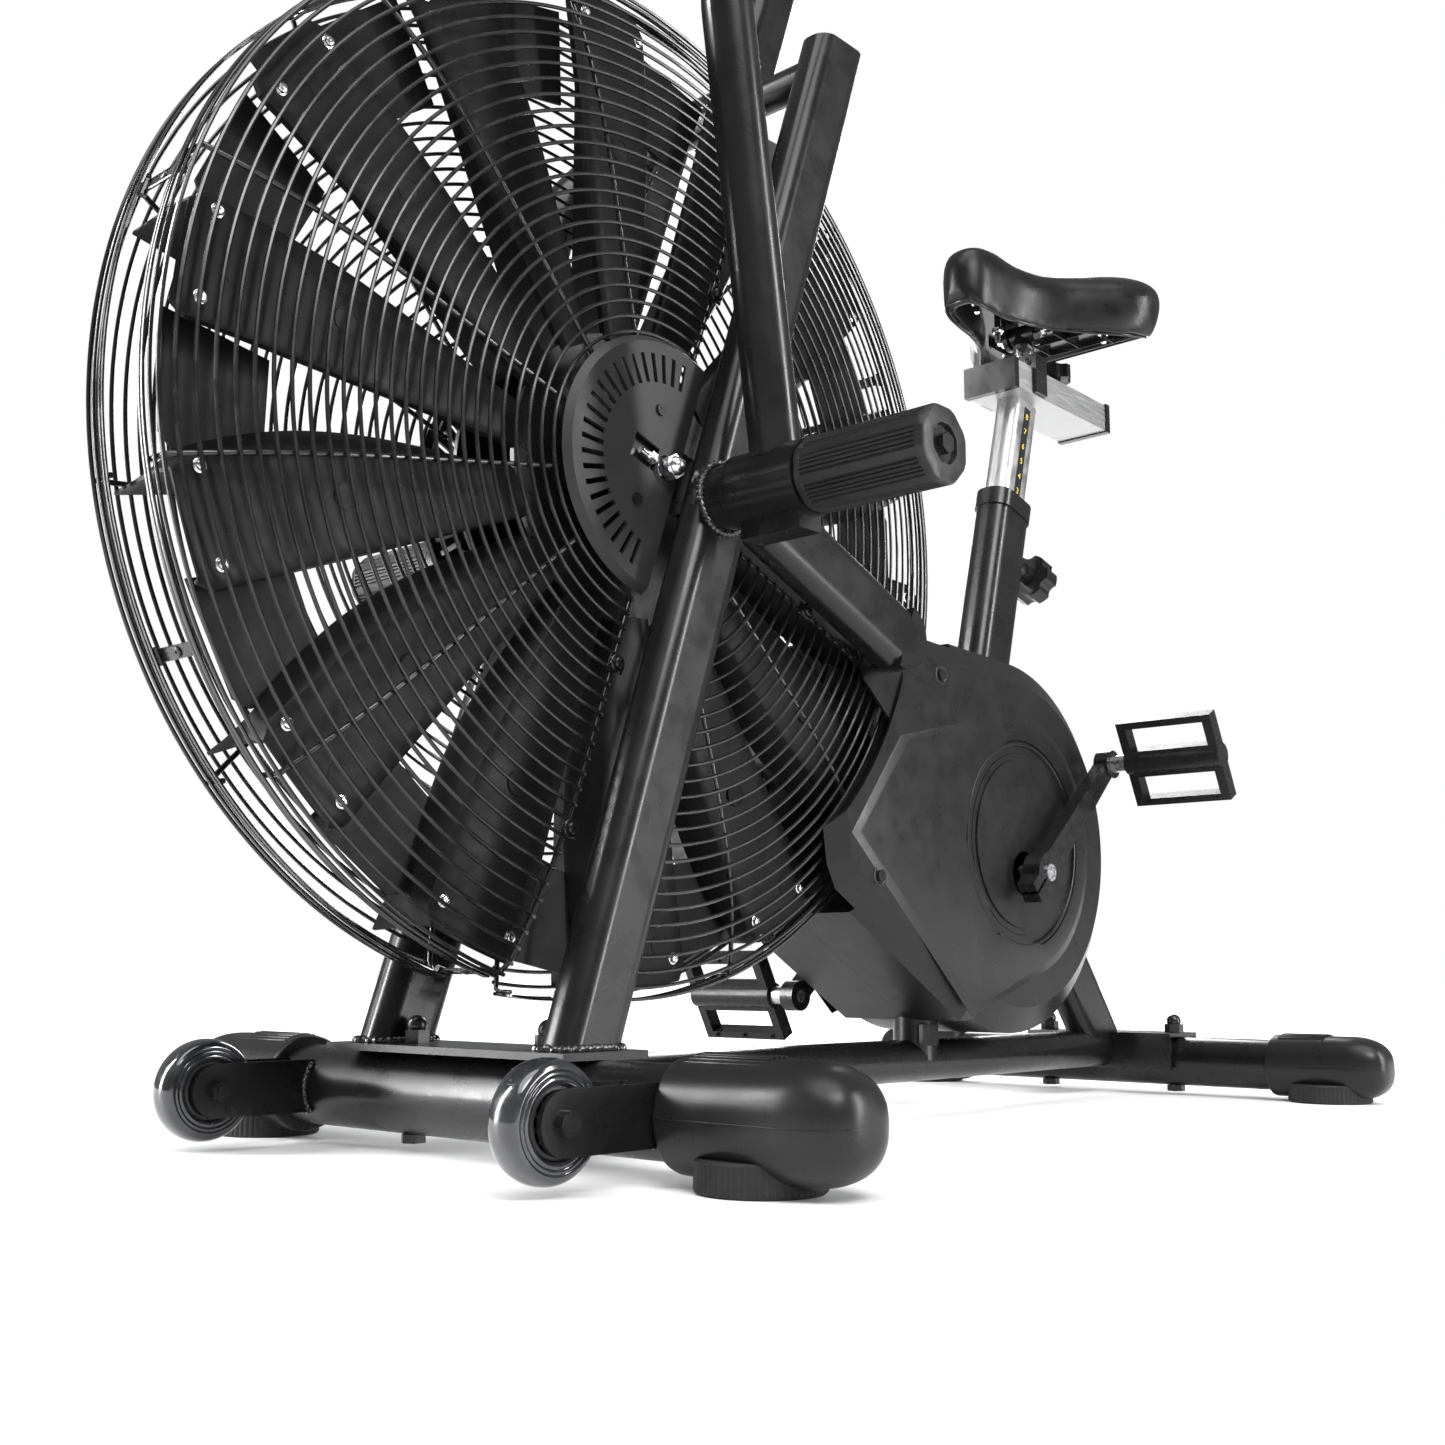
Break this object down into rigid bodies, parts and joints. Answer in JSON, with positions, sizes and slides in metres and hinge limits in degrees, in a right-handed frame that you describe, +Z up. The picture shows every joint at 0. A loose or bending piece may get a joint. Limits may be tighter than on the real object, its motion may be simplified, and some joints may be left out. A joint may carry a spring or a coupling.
{
  "type": "air bike",
  "caption": "Fan-resisted exercise bike: caged paddle fan, swinging arms, pedals, adjustable saddle and foot pegs on a two-stabiliser steel frame.",
  "frame": {"origin": "on the floor under the centre of the bounding box", "axes": "+X forward, +Y to the rider's left, +Z up"},
  "size_m": [1.2204, 0.67, 1.1819],
  "materials": {
    "black_steel": "satin powder coat",
    "wire": "gloss black wire",
    "fasteners": "black oxide",
    "rubber": "matte rubber",
    "peg_rubber": "ribbed rubber",
    "tyre": "glossy urethane",
    "hub_plastic": "moulded",
    "cover_plastic": "satin moulded plastic",
    "knob_plastic": "gloss",
    "blade": "satin sheet",
    "zinc": "bright zinc plate",
    "steel": "turned steel",
    "aluminium": "anodised",
    "belt": "ribbed belt",
    "crank_black": "gloss black",
    "pedal_plastic": "moulded nylon",
    "vinyl": "soft gloss vinyl",
    "grip_foam": "foam",
    "nylon": "nylon",
    "screen": "display window"
  },
  "bodies": {
    "frame": {"front_stabiliser": "black_steel", "rear_stabiliser": "black_steel", "end_caps": "rubber", "levelling_feet": "rubber", "stabiliser_brackets": "black_steel", "frame_bolts": "fasteners", "left_upright": "black_steel", "right_upright": "black_steel", "side_beams": "black_steel", "cheek_plates": "black_steel", "console_mast": "black_steel", "base_tube": "black_steel", "support_post": "black_steel", "rear_strut": "black_steel", "seat_tube": "black_steel", "seat_tube_bush": "nylon", "bottom_bracket": "black_steel", "crank_bearings": "steel", "left_cage": "wire", "right_cage": "wire", "hub_covers": "cover_plastic", "axle_brackets": "black_steel", "fan_axle": "zinc", "drive_belt": "belt", "left_cover": "cover_plastic", "right_cover": "cover_plastic", "crank_caps": "cover_plastic", "cover_screws": "fasteners", "peg_shafts": "black_steel", "foot_pegs": "peg_rubber"},
    "fan": {"fan_hub": "black_steel", "fan_bearings": "steel", "fan_blades": "blade", "fan_pulley": "aluminium"},
    "crank": {"crank_spindles": "steel", "crank_pulley": "aluminium", "left_crank_arm": "crank_black", "right_crank_arm": "crank_black"},
    "left_pedal_body": {"left_pedal": "pedal_plastic"},
    "right_pedal_body": {"right_pedal": "pedal_plastic"},
    "left_handlebar": {"left_arm": "black_steel", "left_grip": "grip_foam"},
    "right_handlebar": {"right_arm": "black_steel", "right_grip": "grip_foam"},
    "left_wheel": {"left_wheel_tyre": "tyre", "left_wheel_hub": "hub_plastic"},
    "right_wheel": {"right_wheel_tyre": "tyre", "right_wheel_hub": "hub_plastic"},
    "seat_mast": {"seat_post": "aluminium", "seat_rail": "aluminium", "rail_caps": "knob_plastic"},
    "height_pin": {"height_knob": "knob_plastic"},
    "carriage": {"seat_carriage": "black_steel", "saddle_clamp": "zinc"},
    "carriage_clamp": {"carriage_knob": "knob_plastic"},
    "saddle": {"saddle_pan": "knob_plastic", "saddle_cushion": "vinyl"},
    "console": {"console_housing": "cover_plastic", "console_screen": "screen"},
    "button": {"console_button": "knob_plastic"}
  },
  "joints": [
    {"name": "crank_spin", "type": "hinge", "parent": "frame", "child": "crank", "pos_m": [-0.27325, 0, 0.218], "axis": [0, 1, 0], "continuous": true},
    {"name": "fan_spin", "type": "hinge", "parent": "frame", "child": "fan", "pos_m": [0.21875, 0, 0.4956], "axis": [0, 1, 0], "continuous": true},
    {"name": "left_pedal_spin", "type": "hinge", "parent": "crank", "child": "left_pedal_body", "pos_m": [-0.40457, 0.169, 0.33215], "axis": [0, 1, 0], "continuous": true},
    {"name": "right_pedal_spin", "type": "hinge", "parent": "crank", "child": "right_pedal_body", "pos_m": [-0.14193, -0.169, 0.10385], "axis": [0, 1, 0], "continuous": true},
    {"name": "left_arm_swing", "type": "hinge", "parent": "frame", "child": "left_handlebar", "pos_m": [0.19675, 0.168, 0.47], "axis": [0, 1, 0], "range_deg": [-26, 2]},
    {"name": "right_arm_swing", "type": "hinge", "parent": "frame", "child": "right_handlebar", "pos_m": [0.19675, -0.168, 0.47], "axis": [0, 1, 0], "range_deg": [-2, 26]},
    {"name": "left_wheel_spin", "type": "hinge", "parent": "frame", "child": "left_wheel", "pos_m": [0.42175, 0.18, 0.042], "axis": [0, 1, 0], "continuous": true},
    {"name": "right_wheel_spin", "type": "hinge", "parent": "frame", "child": "right_wheel", "pos_m": [0.42175, -0.18, 0.042], "axis": [0, 1, 0], "continuous": true},
    {"name": "seat_height", "type": "slide", "parent": "frame", "child": "seat_mast", "axis": [-0.2607, 0, 0.9654], "range_m": [-0.09, 0.08]},
    {"name": "height_pin_pull", "type": "slide", "parent": "frame", "child": "height_pin", "axis": [-0.9654, 0, -0.2607], "range_m": [0, 0.012], "stiffness_N_per_m": 900, "springref_m": -0.004},
    {"name": "seat_fore_aft", "type": "slide", "parent": "seat_mast", "child": "carriage", "axis": [1, 0, 0], "range_m": [-0.03, 0.03]},
    {"name": "carriage_knob_turn", "type": "hinge", "parent": "carriage", "child": "carriage_clamp", "pos_m": [-0.48625, 0, 0.79], "axis": [0, 0, 1], "range_deg": [-180, 180]},
    {"name": "saddle_tilt", "type": "hinge", "parent": "carriage", "child": "saddle", "pos_m": [-0.42525, 0, 0.816], "axis": [0, 1, 0], "range_deg": [-8, 8]},
    {"name": "console_tilt", "type": "hinge", "parent": "frame", "child": "console", "pos_m": [-0.01449, 0, 1.066], "axis": [0, 1, 0], "range_deg": [-15, 15]},
    {"name": "button_press", "type": "slide", "parent": "console", "child": "button", "axis": [0.8192, 0, -0.5736], "range_m": [0, 0.0015], "stiffness_N_per_m": 400, "springref_m": -0.0008}
  ],
  "couplings": [
    {"joint": "fan_spin", "follows": "crank_spin", "ratio": 3.9286},
    {"joint": "right_arm_swing", "follows": "left_arm_swing", "ratio": -1}
  ]
}
